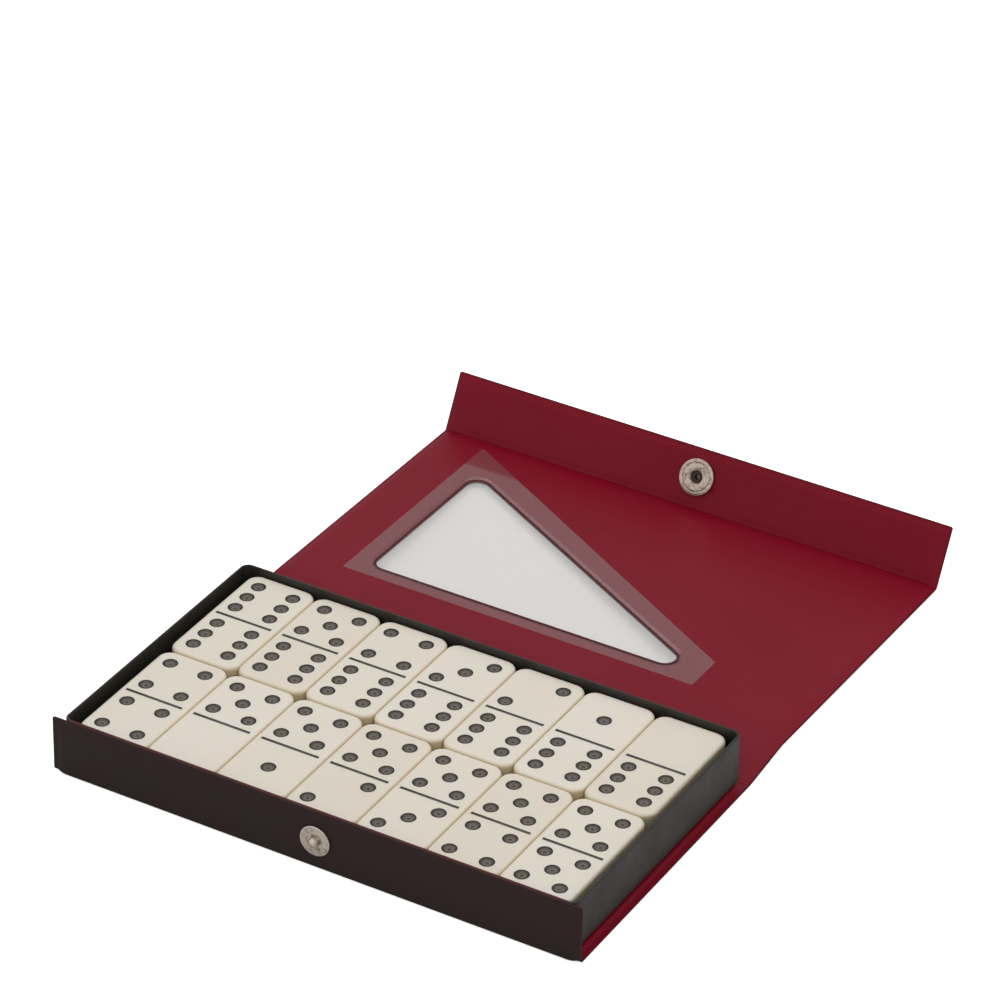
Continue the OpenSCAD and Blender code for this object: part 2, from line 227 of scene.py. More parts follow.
# The floor is staging: it is in the picture, but no piece of the object
def layFloor(name, height, material):
    half = studio["floorSize"] / 2
    mesh = bpy.data.meshes.new(name)
    mesh.from_pydata(
        [(-half, -half, 0), (half, -half, 0), (half, half, 0), (-half, half, 0)],
        [], [(0, 1, 2, 3)],
    )
    mesh.materials.append(material)
    floor = addObject(name, mesh)
    floor.location.z = height
    return floor


def buildStudio(setup):
    bpy.context.scene.view_settings.view_transform = "Standard"
    world = bpy.data.worlds.new("WhiteSurround")
    world.use_nodes = True
    tree = world.node_tree
    around = addNode(tree, "ShaderNodeTexCoord").outputs["Generated"]
    depth = addNode(tree, "ShaderNodeSeparateXYZ", {0: around}).outputs["Y"]
    strength = remap(
        tree, depth, (-setup["surroundFade"], setup["surroundFade"]),
        (setup["surroundFront"], setup["surroundBack"]), "SMOOTHSTEP",
    )
    shade = tree.nodes["Background"]
    shade.inputs["Color"].default_value = linearColour(setup["surroundColour"])
    tree.links.new(strength, shade.inputs["Strength"])
    bpy.context.scene.world = world

    # The floor in view glows; the one that lights the object from below is plain paper
    glowing = makeMaterial("GlowingWhitePaper", glowingPaperShader, setup)
    floor = layFloor("Floor", setup["floorHeight"], glowing)
    floor.visible_diffuse = floor.visible_glossy = False
    plain = makeMaterial("WhitePaper", paperShader, setup)
    bounce = layFloor("BounceFloor", setup["bounceHeight"], plain)
    bounce.visible_camera = False

    for name, place, aim, size, watts in setup["softLights"]:
        data = bpy.data.lights.new(name, "AREA")
        data.shape, data.size, data.energy = "DISK", size, watts
        light = addObject(name, data)
        light.location = place
        toAim = Vector(aim) - Vector(place)
        light.rotation_euler = toAim.to_track_quat("-Z", "Y").to_euler()


buildStudio(studio)
print("Studio lit")


# Parts of the noise patterns' range over which a look changes
noiseSpans = {
    "wear": (0.3, 0.7), "scuff": (0.35, 0.7), "stain": (0.46, 0.70), "grime": (0.40, 0.58),
}


def vinylShader(tree, place, look):
    # Fine leather-like grain of the calendered sheet
    cells = addNode(tree, "ShaderNodeTexVoronoi", {
        "Vector": place, "Scale": 1 / (look["grain"] * mm), "Randomness": 0.9,
    }, feature="F1").outputs["Distance"]
    ripple = noisePattern(tree, place, look["ripple"], 2.0)
    height = calculate(tree, "MULTIPLY_ADD", ripple, look["rippleShare"], cells)
    # Faint cloudiness of colour and gloss from handling
    cloud = noisePattern(tree, place, look["cloud"], 3.0)
    return addNode(tree, "ShaderNodeBsdfPrincipled", {
        "IOR": 1.53, "Specular IOR Level": look["shine"],
        "Base Color": mixColours(tree, cloud, look["colour"], look["colourWorn"]),
        "Roughness": remap(tree, cloud, noiseSpans["wear"], look["rough"]),
        "Normal": bump(tree, height, look),
    })


# Calendered PVC sheet: even deep colour, soft broad sheen, a fine embossed grain
calendered = {
    "grain": 0.75, "ripple": 9.0, "rippleShare": 0.6, "reliefDepth": 0.05, "cloud": 38.0,
}
redVinyl = makeMaterial("RedCalenderedVinyl", vinylShader, {
    **calendered, "colour": "#84001e", "colourWorn": "#7a001e", "relief": 0.16,
    "rough": (0.36, 0.48), "shine": 0.17,
})
blackVinyl = makeMaterial("BlackCalenderedVinyl", vinylShader, {
    **calendered, "colour": "#2b1e1c", "colourWorn": "#312321", "relief": 0.22,
    "rough": (0.50, 0.60), "shine": 0.16,
})
# Vinyl melted by the welding bar: smoother than the sheets beside it, and darker as painted shade
# in its seams
weldedShadedVinyl = makeMaterial("WeldedVinylPaintedShade", vinylShader, {
    "colour": "#4b1313", "colourWorn": "#5a1a19", "grain": 0.5, "ripple": 4.0,
    "rippleShare": 0.8, "relief": 0.12, "reliefDepth": 0.04, "cloud": 12.0,
    "rough": (0.30, 0.42), "shine": 0.20,
})


def filmShader(tree, place, look):
    normal = bump(tree, noisePattern(tree, place, look["wave"], 1.5), look)
    seeThrough = addNode(tree, "ShaderNodeBsdfTransparent", {"Color": look["tint"]})
    haze = addNode(tree, "ShaderNodeBsdfDiffuse", {"Color": look["haze"]})
    body = addNode(
        tree, "ShaderNodeMixShader",
        {0: look["hazeShare"], 1: seeThrough.outputs[0], 2: haze.outputs[0]},
    )
    mirror = addNode(
        tree, "ShaderNodeBsdfGlossy", {"Roughness": look["roughness"], "Normal": normal},
    )
    # Only the side that faces out mirrors, for both of the film's surfaces together
    edge = addNode(tree, "ShaderNodeFresnel", {"IOR": look["ior"], "Normal": normal})
    backward = addNode(tree, "ShaderNodeNewGeometry").outputs["Backfacing"]
    outward = calculate(tree, "SUBTRACT", 1.0, backward)
    share = calculate(tree, "MULTIPLY", edge.outputs[0], outward)
    return addNode(
        tree, "ShaderNodeMixShader", {0: share, 1: body.outputs[0], 2: mirror.outputs[0]},
    )


# Clear PVC film: glossy, hardly tinted, with a soft wave from the weld
clearFilm = makeMaterial("ClearPvcFilm", filmShader, {
    "wave": 14.0, "relief": 0.10, "reliefDepth": 0.10, "tint": "#fffefd", "haze": "#f2f0ec",
    "hazeShare": 0.022, "roughness": 0.07, "ior": 1.95,
})


def trayShader(tree, place, look):
    peel = noisePattern(tree, place, look["peel"], 2.0)
    scuff = noisePattern(tree, place, look["scuff"], 6.0)
    return addNode(tree, "ShaderNodeBsdfPrincipled", {
        "Base Color": look["colour"], "IOR": 1.5, "Specular IOR Level": look["shine"],
        "Roughness": remap(tree, scuff, noiseSpans["scuff"], look["rough"]),
        "Normal": bump(tree, peel, look),
    })


# Vacuum-formed black polystyrene: satin, slightly uneven like cooled sheet
blackTray = makeMaterial("BlackFormedPolystyrene", trayShader, {
    "colour": "#2a2721", "peel": 6.0, "relief": 0.3, "reliefDepth": 0.12, "scuff": 11.0,
    "rough": (0.38, 0.52), "shine": 0.40,
})


def ivoryShader(tree, place, look):
    cloud = noisePattern(tree, place, look["cloud"], 2.0)
    face = mixColours(tree, cloud, look["colour"], look["colourDeep"])
    # Painted shade: the upright sides are darker and yellower than the level faces
    normal = addNode(tree, "ShaderNodeNewGeometry").outputs["Normal"]
    upward = addNode(tree, "ShaderNodeSeparateXYZ", {0: normal}).outputs["Z"]
    side = remap(tree, calculate(tree, "ABSOLUTE", upward), look["sideSpan"], (1.0, 0.0))
    polish = noisePattern(tree, place, look["polish"], 3.0)
    return addNode(tree, "ShaderNodeBsdfPrincipled", {
        "IOR": 1.56, "Subsurface Weight": look["subsurface"], "Subsurface Scale": 1.0,
        "Subsurface Radius": tuple(reach * mm for reach in look["scatter"]),
        "Base Color": mixColours(tree, side, face, look["sideColour"]),
        "Roughness": remap(tree, polish, noiseSpans["wear"], look["rough"]),
        "Normal": bump(tree, polish, look),
    })


# Cast urea resin: warm ivory, softly polished, a little light passes into the edges
ivoryTints = [("#eee6d9", "#e9e0d0"), ("#ece3d5", "#e7ddcc"), ("#f0e8dc", "#ebe2d3")]
ivoryResins = [
    makeMaterial("IvoryUreaResin%d" % number, ivoryShader, {
        "colour": face, "colourDeep": deep, "sideColour": "#e0d3b2", "cloud": 26.0,
        "polish": 1.6, "relief": 0.12, "reliefDepth": 0.04, "rough": (0.30, 0.42),
        "subsurface": 0.35, "scatter": (1.6, 1.1, 0.6),
        "sideSpan": (0.25, 0.95),  # steepness from upright side to level face
    })
    for number, (face, deep) in enumerate(ivoryTints, 1)
]


def enamelShader(tree, place, look):
    brush = noisePattern(tree, place, look["grain"], 3.0)
    # Grey on the floor; black on the wall and in the drill mark as painted shade in the recess
    reach = addNode(tree, "ShaderNodeAttribute", attribute_name="reach").outputs["Fac"]
    uneven = calculate(tree, "MULTIPLY_ADD", brush, look["uneven"], -look["uneven"] / 2)
    recessShade = addNode(tree, "ShaderNodeValToRGB", {0: calculate(tree, "ADD", reach, uneven)})
    ramp = recessShade.color_ramp.elements
    # the ramp's steps place the painted shade on wall and drill mark
    ramp[0].position, ramp[1].position = look["layers"][0], look["layers"][-1]
    for position in look["layers"][1:-1]:
        ramp.new(position)
    for element, onFloor in zip(ramp, (False, True, True, False)):
        element.color = linearColour(look["colourThin" if onFloor else "colour"])
    return addNode(tree, "ShaderNodeBsdfPrincipled", {
        "IOR": 1.5, "Roughness": look["roughness"], "Base Color": recessShade.outputs[0],
        "Normal": bump(tree, brush, look),
    })


# Wiped-in black enamel: satin, grey on the recesses' floors, black as painted shade on their walls
# and in the drill marks
blackEnamel = makeMaterial("WipedBlackEnamel", enamelShader, {
    "colour": "#29231e", "colourThin": "#6b6158", "grain": 0.9, "relief": 0.35,
    "reliefDepth": 0.05, "uneven": 0.34, "layers": (0.10, 0.28, 0.68, 0.92), "roughness": 0.46,
})


def metalShader(tree, place, look):
    tumble = noisePattern(tree, place, look["grain"], 4.0)
    stain = noisePattern(tree, place, look["stain"], 3.0, 0.65)
    dirt, height = remap(tree, stain, noiseSpans["stain"], (0.0, look["dirt"])), tumble
    if "centre" in look:
        # Painted shade darkens the hole, by distance from the snap's middle
        offset = centredPlace(tree, place, look["centre"], (look["reach"] * mm,) * 3)
        near = addNode(
            tree, "ShaderNodeTexGradient", {"Vector": offset}, gradient_type="SPHERICAL",
        ).outputs[1]
        ring = remap(tree, near, look["ring"], (0.0, look["ringDirt"]), "SMOOTHSTEP")
        # from here the dirt mask also holds the painted shade in the hole
        dirt = calculate(tree, "MAXIMUM", dirt, ring)
        # Pressed groove inside the rolled rim, grimy in places
        off = calculate(tree, "ABSOLUTE", calculate(tree, "SUBTRACT", near, look["grooveAt"]))
        groove = remap(tree, off, (0.0, look["grooveHalf"]), (1.0, 0.0), "SMOOTHSTEP")
        grime = remap(tree, tumble, noiseSpans["grime"], (0.0, 1.0))
        dirt = calculate(tree, "MAXIMUM", dirt, calculate(tree, "MULTIPLY", groove, grime))
        depth = look["grooveDepth"] / look["reliefDepth"]
        height = calculate(tree, "MULTIPLY_ADD", groove, -depth, height)
    return addNode(tree, "ShaderNodeBsdfPrincipled", {
        "Metallic": 1.0,
        "Base Color": mixColours(tree, dirt, look["colour"], look["colourDirt"]),
        "Roughness": remap(tree, dirt, (0.0, 1.0), look["rough"]),
        "Normal": bump(tree, height, look),
    })


def middle(node):
    low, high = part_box(node)
    return (Vector(low) + Vector(high)) / 2


# Nickel plate on stamped brass: warm grey with a soft shine, spotted and grimy from use
nickelLook = {
    "colour": "#d8cbbd", "colourDirt": "#4c443c", "grain": 0.35, "stain": 1.6, "dirt": 0.55,
    "relief": 0.5, "reliefDepth": 0.02, "rough": (0.24, 0.60),
}
nickelPlate = makeMaterial("NickelPlatedStamping", metalShader, nickelLook)
# The flap's snap is duller, and its hole is painted black as shade
socketNickel = makeMaterial("NickelPlatedSocket", metalShader, {
    **nickelLook, "colour": "#cdb9ab", "colourDirt": "#2a2420", "stain": 1.3, "dirt": 0.6,
    "relief": 0.9, "centre": middle("snap_socket"), "reach": 6.0, "ring": (0.60, 0.67),
    "ringDirt": 0.9, "grooveAt": 0.20, "grooveHalf": 0.05, "grooveDepth": 0.10,
})
# Drawn spring steel: darker and smoother
springSteel = makeMaterial("DrawnSpringSteel", metalShader, {
    "colour": "#8f8b86", "colourDirt": "#45413c", "grain": 0.4, "stain": 1.2, "dirt": 0.5,
    "relief": 0.3, "reliefDepth": 0.02, "rough": (0.22, 0.40),
})


def boardShader(tree, place, look):
    fibre = noisePattern(tree, place, look["fibre"], 6.0)
    return addNode(tree, "ShaderNodeBsdfPrincipled", {
        "Roughness": 0.9, "IOR": 1.45,
        "Base Color": mixColours(tree, fibre, look["colour"], look["colourFleck"]),
    })


# Grey chipboard: matt, flecked, hidden between the sheets
greyBoard = makeMaterial("GreyChipboard", boardShader, {
    "fibre": 1.2, "colour": "#8d8676", "colourFleck": "#77705f",
})

solidMaterials = {
    "base_board": greyBoard, "front_board": greyBoard, "spine_board": greyBoard,
    "lid_board": greyBoard, "flap_board": greyBoard, "tray": blackTray,
    "snap_stud": nickelPlate, "stud_eyelet": nickelPlate,
    "snap_socket": socketNickel, "snap_cap": socketNickel, "socket_spring": springSteel,
}
tileNames = sorted(name for name in cadNodes if name.startswith("tile_"))
# Neighbours get different tints of resin
for index, tileName in enumerate(tileNames):
    solidMaterials[tileName] = ivoryResins[(index * 7 + index // 3) % len(ivoryResins)]
for nodeName, material in solidMaterials.items():
    cadNodes[nodeName].data.materials.clear()
    cadNodes[nodeName].data.materials.append(material)
print("Materials made")

# The wallet's sizes in mm, from the solids and the folds' hinges
joints = {joint["name"]: joint for joint in frame["joints"]}
spineHinge, lidHinge, flapHinge = (
    Vector(joints[name]["pos_m"]) / mm for name in ("spine_fold", "lid_fold", "flap_fold")
)
spineRun, lidRun = lidHinge - spineHinge, flapHinge - lidHinge
coverLow, coverHigh = (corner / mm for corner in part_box("base_cover"))
wallet = {
    "width": coverHigh.x - coverLow.x,
    "mid": spineHinge.z,  # the panels' middle plane above their underside
    "sheet": 0.35, "frontMid": coverLow.y + spineHinge.z, "frontTop": coverHigh.z,
    "foldY": spineHinge.y, "spineDepth": spineRun.length, "lidDepth": lidRun.length,
    "flapDepth": 20.3, "spineRise": math.degrees(math.atan2(spineRun.z, spineRun.y)),
    "lidDrop": math.degrees(spineRun.angle(lidRun)),
    "flapTurn": joints["flap_fold"]["range_deg"][1],
    "stripHalf": 1.5,
    "foldPad": 0.72,  # share of the pad's height that is left beside a fold
    "foldRun": 1.5,  # the pad has its full height this far from the fold's strip
    "padStart": 0.7,  # the pad starts this far in from a free edge
    "padRun": 2.2,  # and has its full height after this much more
    "frontEase": 0.7,  # on base and front panel the pad rises this much slower
    "freeCorner": 0.7,
    "padCorner": 2.2,  # the pads' outline is rounded this much at free corners
    "lip": 0.22,  # the black sheet shows this far past the red one
}
halfWidth = wallet["width"] / 2
sheetT, padH = wallet["sheet"], wallet["mid"]
# Outer and inner sheet; frontHole is for the stud outside and for its eyelet inside
sheets = {
    "cover": {
        "side": -1, "lip": 0.0, "frontHole": 1.3, "material": blackVinyl, "slot": "vinyl_black",
    },
    "lining": {
        "side": 1, "lip": wallet["lip"], "frontHole": 4.3, "material": redVinyl,
        "slot": "vinyl_red",
    },
}


def turnX(degrees):
    return Matrix.Rotation(math.radians(degrees), 4, "X")


def shift(y, z=0.0):
    return Matrix.Translation((0, y, z))


foldFrame = shift(wallet["foldY"], wallet["mid"])
spineFrame = foldFrame @ turnX(wallet["spineRise"])
spineEnd = spineFrame @ shift(wallet["spineDepth"])
lidFrame = spineEnd @ turnX(-wallet["lidDrop"])
lidEnd = lidFrame @ shift(wallet["lidDepth"])
flapFrame = lidEnd @ turnX(wallet["flapTurn"])

# Seeds are those of the sinking pads
panels = {
    "spine": {
        "frame": spineFrame, "depth": wallet["spineDepth"], "free": False,
        "seeds": {"cover": 12, "lining": 13},
    },
    "lid": {
        "frame": lidFrame, "depth": wallet["lidDepth"], "free": False,
        "seeds": {"cover": 14, "lining": 15},
    },
    "flap": {
        "frame": flapFrame, "depth": wallet["flapDepth"], "free": True,
        "seeds": {"cover": 19, "lining": 20},
    },
}


def smooth(t):
    t = min(1.0, max(0.0, t))
    return t * t * (3 - 2 * t)


# Rise from the flat weld to the raised pad, d mm in from a free edge
def edgeRise(d):
    return smooth((d - wallet["padStart"]) / wallet["padRun"])


# Distance in from the two edges of a rounded corner
def cornerDistance(a, b):
    r = wallet["padCorner"]
    return r - math.hypot(r - a, r - b) if a < r and b < r else min(a, b)


def foldFade(d):
    return smooth((d - wallet["stripHalf"]) / wallet["foldRun"])


# Beside a fold the pad hardly sinks
def foldRise(d):
    return wallet["foldPad"] + (1 - wallet["foldPad"]) * foldFade(d)


seedStep = 7.31  # keeps the patterns of two seeds apart


def noiseAt(x, y, seed):
    return noise.noise(Vector((x, y, seed * seedStep)))


# The window in the lid's own plane: x across, v from the spine's fold to the flap's
windowShape = {
    "corners": [(-66.4, 85.1), (-66.4, 18.4), (53.5, 18.4)],
    "radius": 4.2, "arcStep": 0.7, "arcLeast": 6, "weld": 1.2, "padRun": 0.6,
    "padLead": 0.15,  # the pad starts this much inside the weld
    # outlines round it on which the lid's sheets have their points: grown by, step
    "rings": [(0, 1.2), (0.6, 1.2), (1.05, 1.2), (1.25, 1.2), (1.45, 1.2), (1.7, 1.4), (2.4, 2.0)],
    "room": 3.6,
}


def insetCorners(corners, inset):
    made = []
    for i in range(3):
        p = Vector(corners[i])
        ua = (Vector(corners[(i + 1) % 3]) - p).normalized()
        ub = (Vector(corners[(i + 2) % 3]) - p).normalized()
        made.append(p + (ua + ub) * inset / abs(ua.x * ub.y - ua.y * ub.x))
    return made


windowCentres = insetCorners(windowShape["corners"], windowShape["radius"])
filmShape = {
    "thickness": 0.25,
    "corners": [(-73.0, 12.6), (52.5, 12.6), (52.5, 27.5), (-73.0, 99.7)],
    "sag": 0.05, "sagSize": 17.0, "sagSeed": 70,
    "cling": 0.03,  # air between film and lining
    "spanFrom": 0.8, "spanRun": 2.5,  # it sags from this far outside the window inwards
    "seatFrom": 0.5, "seatRun": 1.05,  # and climbs on to the lining's pad from here outwards
    "step": 2.5, "start": 2.0, "edgeRoom": 1.2,
    "rings": [(-0.6, 1.8), (0.2, 1.6), (0.8, 1.4), (1.1, 1.4), (1.4, 1.4), (1.7, 1.4),
              (2.1, 1.6), (2.6, 2.0)],
    "ringsFrom": -1.5, "ringsTo": 3.3,
}
filmCorners = [Vector(corner) for corner in filmShape["corners"]]


# Distance outside the window's edge, negative inside
def windowDistance(x, v):
    p = Vector((x, v))
    inside, nearest = True, math.inf
    for i in range(3):
        a, b = windowCentres[i], windowCentres[(i + 1) % 3]
        along = b - a
        t = min(1.0, max(0.0, (p - a).dot(along) / along.length_squared))
        nearest = min(nearest, (p - a - along * t).length)
        if along.x * (v - a.y) - along.y * (x - a.x) < 0:
            inside = False
    return (-nearest if inside else nearest) - windowShape["radius"]


# Distance outside the film's outline, negative inside
def filmDistance(x, v):
    away = -math.inf
    for a, b in zip(filmCorners, filmCorners[1:] + filmCorners[:1]):
        d = (b - a).normalized()
        away = max(away, d.y * (x - a.x) - d.x * (v - a.y))
    return away


# The window's outline grown by so many mm, as points about every step mm
def windowLoop(grown, step):
    r = windowShape["radius"] + grown
    centres, loop, normals = windowCentres, [], []
    for i in range(3):
        d = (centres[(i + 1) % 3] - centres[i]).normalized()
        normals.append(Vector((d.y, -d.x)))
    for i in range(3):
        before, after = normals[(i + 2) % 3], normals[i]
        turn = before.angle(after)
        count = max(windowShape["arcLeast"], int(r * turn / min(step, windowShape["arcStep"])))
        for k in range(count + 1):
            t = k / count
            mix = before * math.sin((1 - t) * turn) + after * math.sin(t * turn)
            loop.append(centres[i] + mix / math.sin(turn) * r)
        start = centres[i] + after * r
        end = centres[(i + 1) % 3] + after * r
        parts = max(1, round((end - start).length / step))
        loop += [start.lerp(end, k / parts) for k in range(1, parts)]
    return loop


# Where a sheet has its points, mm: how far in from a free edge and from a fold's strip they
# lie dense, the usual step, and the room they leave round holes and corners
sheetGrid = {
    "edge": (0, 0.5, 1.0, 1.5, 1.75, 1.95, 2.15, 2.4, 3.0, 4.2),
    "fold": (0, 0.25, 0.45, 0.65, 0.9, 1.4, 2.2, 3.1, 4.1, 5.2, 6.4, 7.8),
    "baseFold": (0, 0.25, 0.45, 0.65, 0.9, 1.4, 2.4), "step": 2.6, "fill": 2.4,
    "frontRows": (6.0, 8.0, 10.0, 12.0, 14.0, 15.5), "bendRows": 8, "baseRows": 25,
    "baseStart": 0.6, "baseStep": 4.0, "holeRoom": 0.4,
    "holeShare": 0.98,  # share of a hole's radius that counts as open
    "cornerRoom": 0.25, "cornerSlack": 1.0005,
    "merge": 1e-5,  # points closer than this become one
    "margin": 0.002,  # slivers thinner than this along an outline are left out
}


# Places across a sheet, dense at both edges
def placesAcross(half):
    left = [-half + f for f in sheetGrid["edge"]]
    right = [half - f for f in sheetGrid["edge"]]
    start, end = max(left), min(right)
    count = max(1, round((end - start) / sheetGrid["step"]))
    between = [start + (end - start) * k / count for k in range(count + 1)]
    return sorted({*left, *right, *between})


# A mesh that is smooth but for its sharp edges, with its normals outward
def makeMesh(name, bm, material, sharp):
    bmesh.ops.recalc_face_normals(bm, faces=bm.faces)
    for face in bm.faces:
        face.smooth = True
    for edge in sharp:
        edge.smooth = False
    mesh = bpy.data.meshes.new(name)
    bm.to_mesh(mesh)
    bm.free()
    mesh.materials.append(material)
    return mesh


# Ties a piece to its body and hides the solid it stands for
def settle(piece, body, slotName, node=None):
    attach(piece, body)
    if node:
        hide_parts(node)


# Closed sheet over a flat outline, both surfaces from one triangulation; heights gives the two
# surfaces' heights at a point and place takes a point and a height into the scene
def sheetPiece(name, points, loops, inside, heights, place, material):
    verts = [Vector(p) for p in points]
    edges = []
    for loop in loops:
        first = len(verts)
        verts += [Vector(p) for p in loop]
        edges += [(first + k, first + (k + 1) % len(loop)) for k in range(len(loop))]
    flat, _, faces, *_ = delaunay_2d_cdt(verts, edges, [], 0, sheetGrid["merge"])
    kept = []
    for face in faces:
        centre = sum((flat[k] for k in face), Vector((0, 0))) / len(face)
        if inside(*centre):
            kept.append(face)
    bm = bmesh.new()
    pairs = {k: heights(*flat[k]) for k in sorted({k for face in kept for k in face})}
    top, low = (
        {k: bm.verts.new(place(*flat[k], pair[i])) for k, pair in pairs.items()}
        for i in (0, 1)
    )
    border = {}
    for face in kept:
        bm.faces.new([top[k] for k in face])
        bm.faces.new([low[k] for k in reversed(face)])
        for a, b in zip(face, face[1:] + face[:1]):
            if not border.pop((b, a), False):
                border[(a, b)] = True
    rim = {bm.faces.new([top[b], top[a], low[a], low[b]]) for a, b in border}
    sharp = {
        edge for face in rim for edge in face.edges
        if sum(neighbour in rim for neighbour in edge.link_faces) == 1
    }
    return addObject(name, makeMesh(name, bm, material, sharp))


def panelPlace(matrix):
    def place(x, v, h):
        return matrix @ Vector((x, v, h)) * mm
    return place


# Front panel and base are one sheet: s runs down the front, round the bend and back to the fold
bend = {
    "arc": 2.0,  # length that s gives to the bend, mm
    "weld": 0.8,  # radius of the middle plane at the side welds
    "cover": 0.1,  # the same under the black pad and under the red one
    "lining": 0.95,
}
frontDrop = wallet["frontTop"] - wallet["mid"]
baseRun = wallet["foldY"] - wallet["frontMid"]
baseLength = frontDrop + bend["arc"] + baseRun


def basePlace(padRadius):
    def place(x, s, h):
        r = bend["weld"] + (padRadius - bend["weld"]) * edgeRise(halfWidth - abs(x))
        if s <= frontDrop:
            y, z = wallet["frontMid"] + h, wallet["frontTop"] - s * (frontDrop - r) / frontDrop
        elif s <= frontDrop + bend["arc"]:
            a = math.pi / 2 * (s - frontDrop) / bend["arc"]
            y = wallet["frontMid"] + r - (r - h) * math.cos(a)
            z = wallet["mid"] + r - (r - h) * math.sin(a)
        else:
            back = (baseLength - s) * (baseRun - r) / baseRun
            y, z = wallet["foldY"] - back, wallet["mid"] + h
        return Vector((x, y, z)) * mm
    return place


# Outline of a sheet; corners at its free end are rounded: sign is 1 where that is the low end
def outlineLoop(xs, vs, corner=0.0, sign=1):
    half, free = xs[-1], vs[0] if sign > 0 else vs[-1]
    loop = [(x, vs[0]) for x in xs[:-1]] + [(half, v) for v in vs[:-1]]
    loop += [(x, vs[-1]) for x in reversed(xs[1:])] + [(xs[0], v) for v in reversed(vs[1:])]
    made = []
    for x, v in loop:
        inX, inV = half - abs(x), (v - free) * sign
        if inX < corner and inV < corner:
            # slide the point onto the corner's arc
            p = Vector((corner - inX, corner - inV))
            if p.length > corner:
                p = p.normalized() * corner
            x = math.copysign(half - corner + p.x, x)
            v = free + sign * (corner - p.y)
        made.append((x, v))
    return made


def insideCorners(x, v, half, corner, free, sign):
    inX, inV = half - abs(x), (v - free) * sign
    return not (inX < corner and inV < corner
                and math.hypot(corner - inX, corner - inV) > corner * sheetGrid["cornerSlack"])


vinylRelief = {
    "sag": 0.10,  # how far the pads sink between board and sheet, mm
    "sagSize": 34.0,
    "sagFine": 0.35,  # size of the second, smaller pattern as a share of the first
    "sagFineShare": 0.18,
    "ruck": 0.26,  # small rucks beside the flap's fold, mm
    "ruckSize": 8.0, "ruckReach": 5.0, "ruckLength": 16.0, "slantSize": 31.0,
    "ruckLeast": 0.35,  # share of their height that the rucks keep between the patches
    "patchSize": 45.0, "patchContrast": 1.4, "patchRow": 3.3,
    "filmLead": 0.5,  # the lining lies flat under the film and this far outside it
    "filmRun": 5.0,
    "dimple": 0.16,  # pressed ring round a snap, mm
    "dimpleHalf": 0.9, "snapX": 1.8, "snapDrop": 10.9, "socketRing": 7.1,
    "socketSeat": 6.4,  # within this radius the sheet lies flat under the metal
    "studRing": 6.2, "studSeat": 5.4, "postHole": 1.3, "frontTopRun": 4.0, "frontFootRun": 3.0,
    "frontSeed": 40, "lidRuckSeed": 20, "flapRuckSeed": 30,
}


def ringLoop(x, v, radius, count=20):
    turns = (2 * math.pi * k / count for k in range(count))
    return [(x + radius * math.cos(a), v + radius * math.sin(a)) for a in turns]


def sinking(x, v, seed):
    look = vinylRelief
    size, fine = look["sagSize"], look["sagSize"] * look["sagFine"]
    wide = noiseAt(x / size, v / size, seed)
    small = noiseAt(x / fine, v / fine, seed + 1)
    return -look["sag"] * (0.5 + 0.5 * wide + look["sagFineShare"] * small)


def rucks(x, away, seed):
    look = vinylRelief
    fade = math.exp(-max(away, 0) / look["ruckReach"])
    slant = noiseAt(x / look["slantSize"], 0.0, seed + 2) * away
    wave = noiseAt((x + slant) / look["ruckSize"], away / look["ruckLength"], seed + 3)
    patch = 0.5 + look["patchContrast"] * noiseAt(x / look["patchSize"], look["patchRow"], seed + 4)
    least = look["ruckLeast"]
    return look["ruck"] * fade * wave * (least + (1 - least) * smooth(patch))


def dimple(distance, ring):
    look = vinylRelief
    return -look["dimple"] * math.exp(-(((distance - ring) / look["dimpleHalf"]) ** 2))


# Height of a panel's outer surface over the middle plane
def panelHeight(name, sheetName, x, v):
    panel, look, strip = panels[name], vinylRelief, wallet["stripHalf"]
    away, left = halfWidth - abs(x), panel["depth"] - v
    lining = sheetName == "lining"
    lift = sinking(x, v, panel["seeds"][sheetName])
    if name == "flap":
        rise, fade = edgeRise(cornerDistance(away, left)) * foldRise(v), foldFade(v)
        if lining:
            lift += rucks(x, v - strip, look["flapRuckSeed"])
        snapDistance = math.hypot(x - look["snapX"], v - look["snapDrop"])
        lift += dimple(snapDistance, look["socketRing"])
        if snapDistance < look["socketSeat"]:
            lift = 0.0
    else:
        rise = edgeRise(away) * foldRise(v) * foldRise(left)
        fade = foldFade(v) * foldFade(left)
    if name == "lid":
        fromWeld = windowDistance(x, v) - windowShape["weld"] + windowShape["padLead"]
        rise *= smooth(fromWeld / windowShape["padRun"])
        if lining:
            lift += rucks(x, left - strip, look["lidRuckSeed"])
            # flat where the film is stuck to it
            lift *= smooth((filmDistance(x, v) + look["filmLead"]) / look["filmRun"])
    return sheetT + (padH - sheetT) * rise + lift * rise * fade


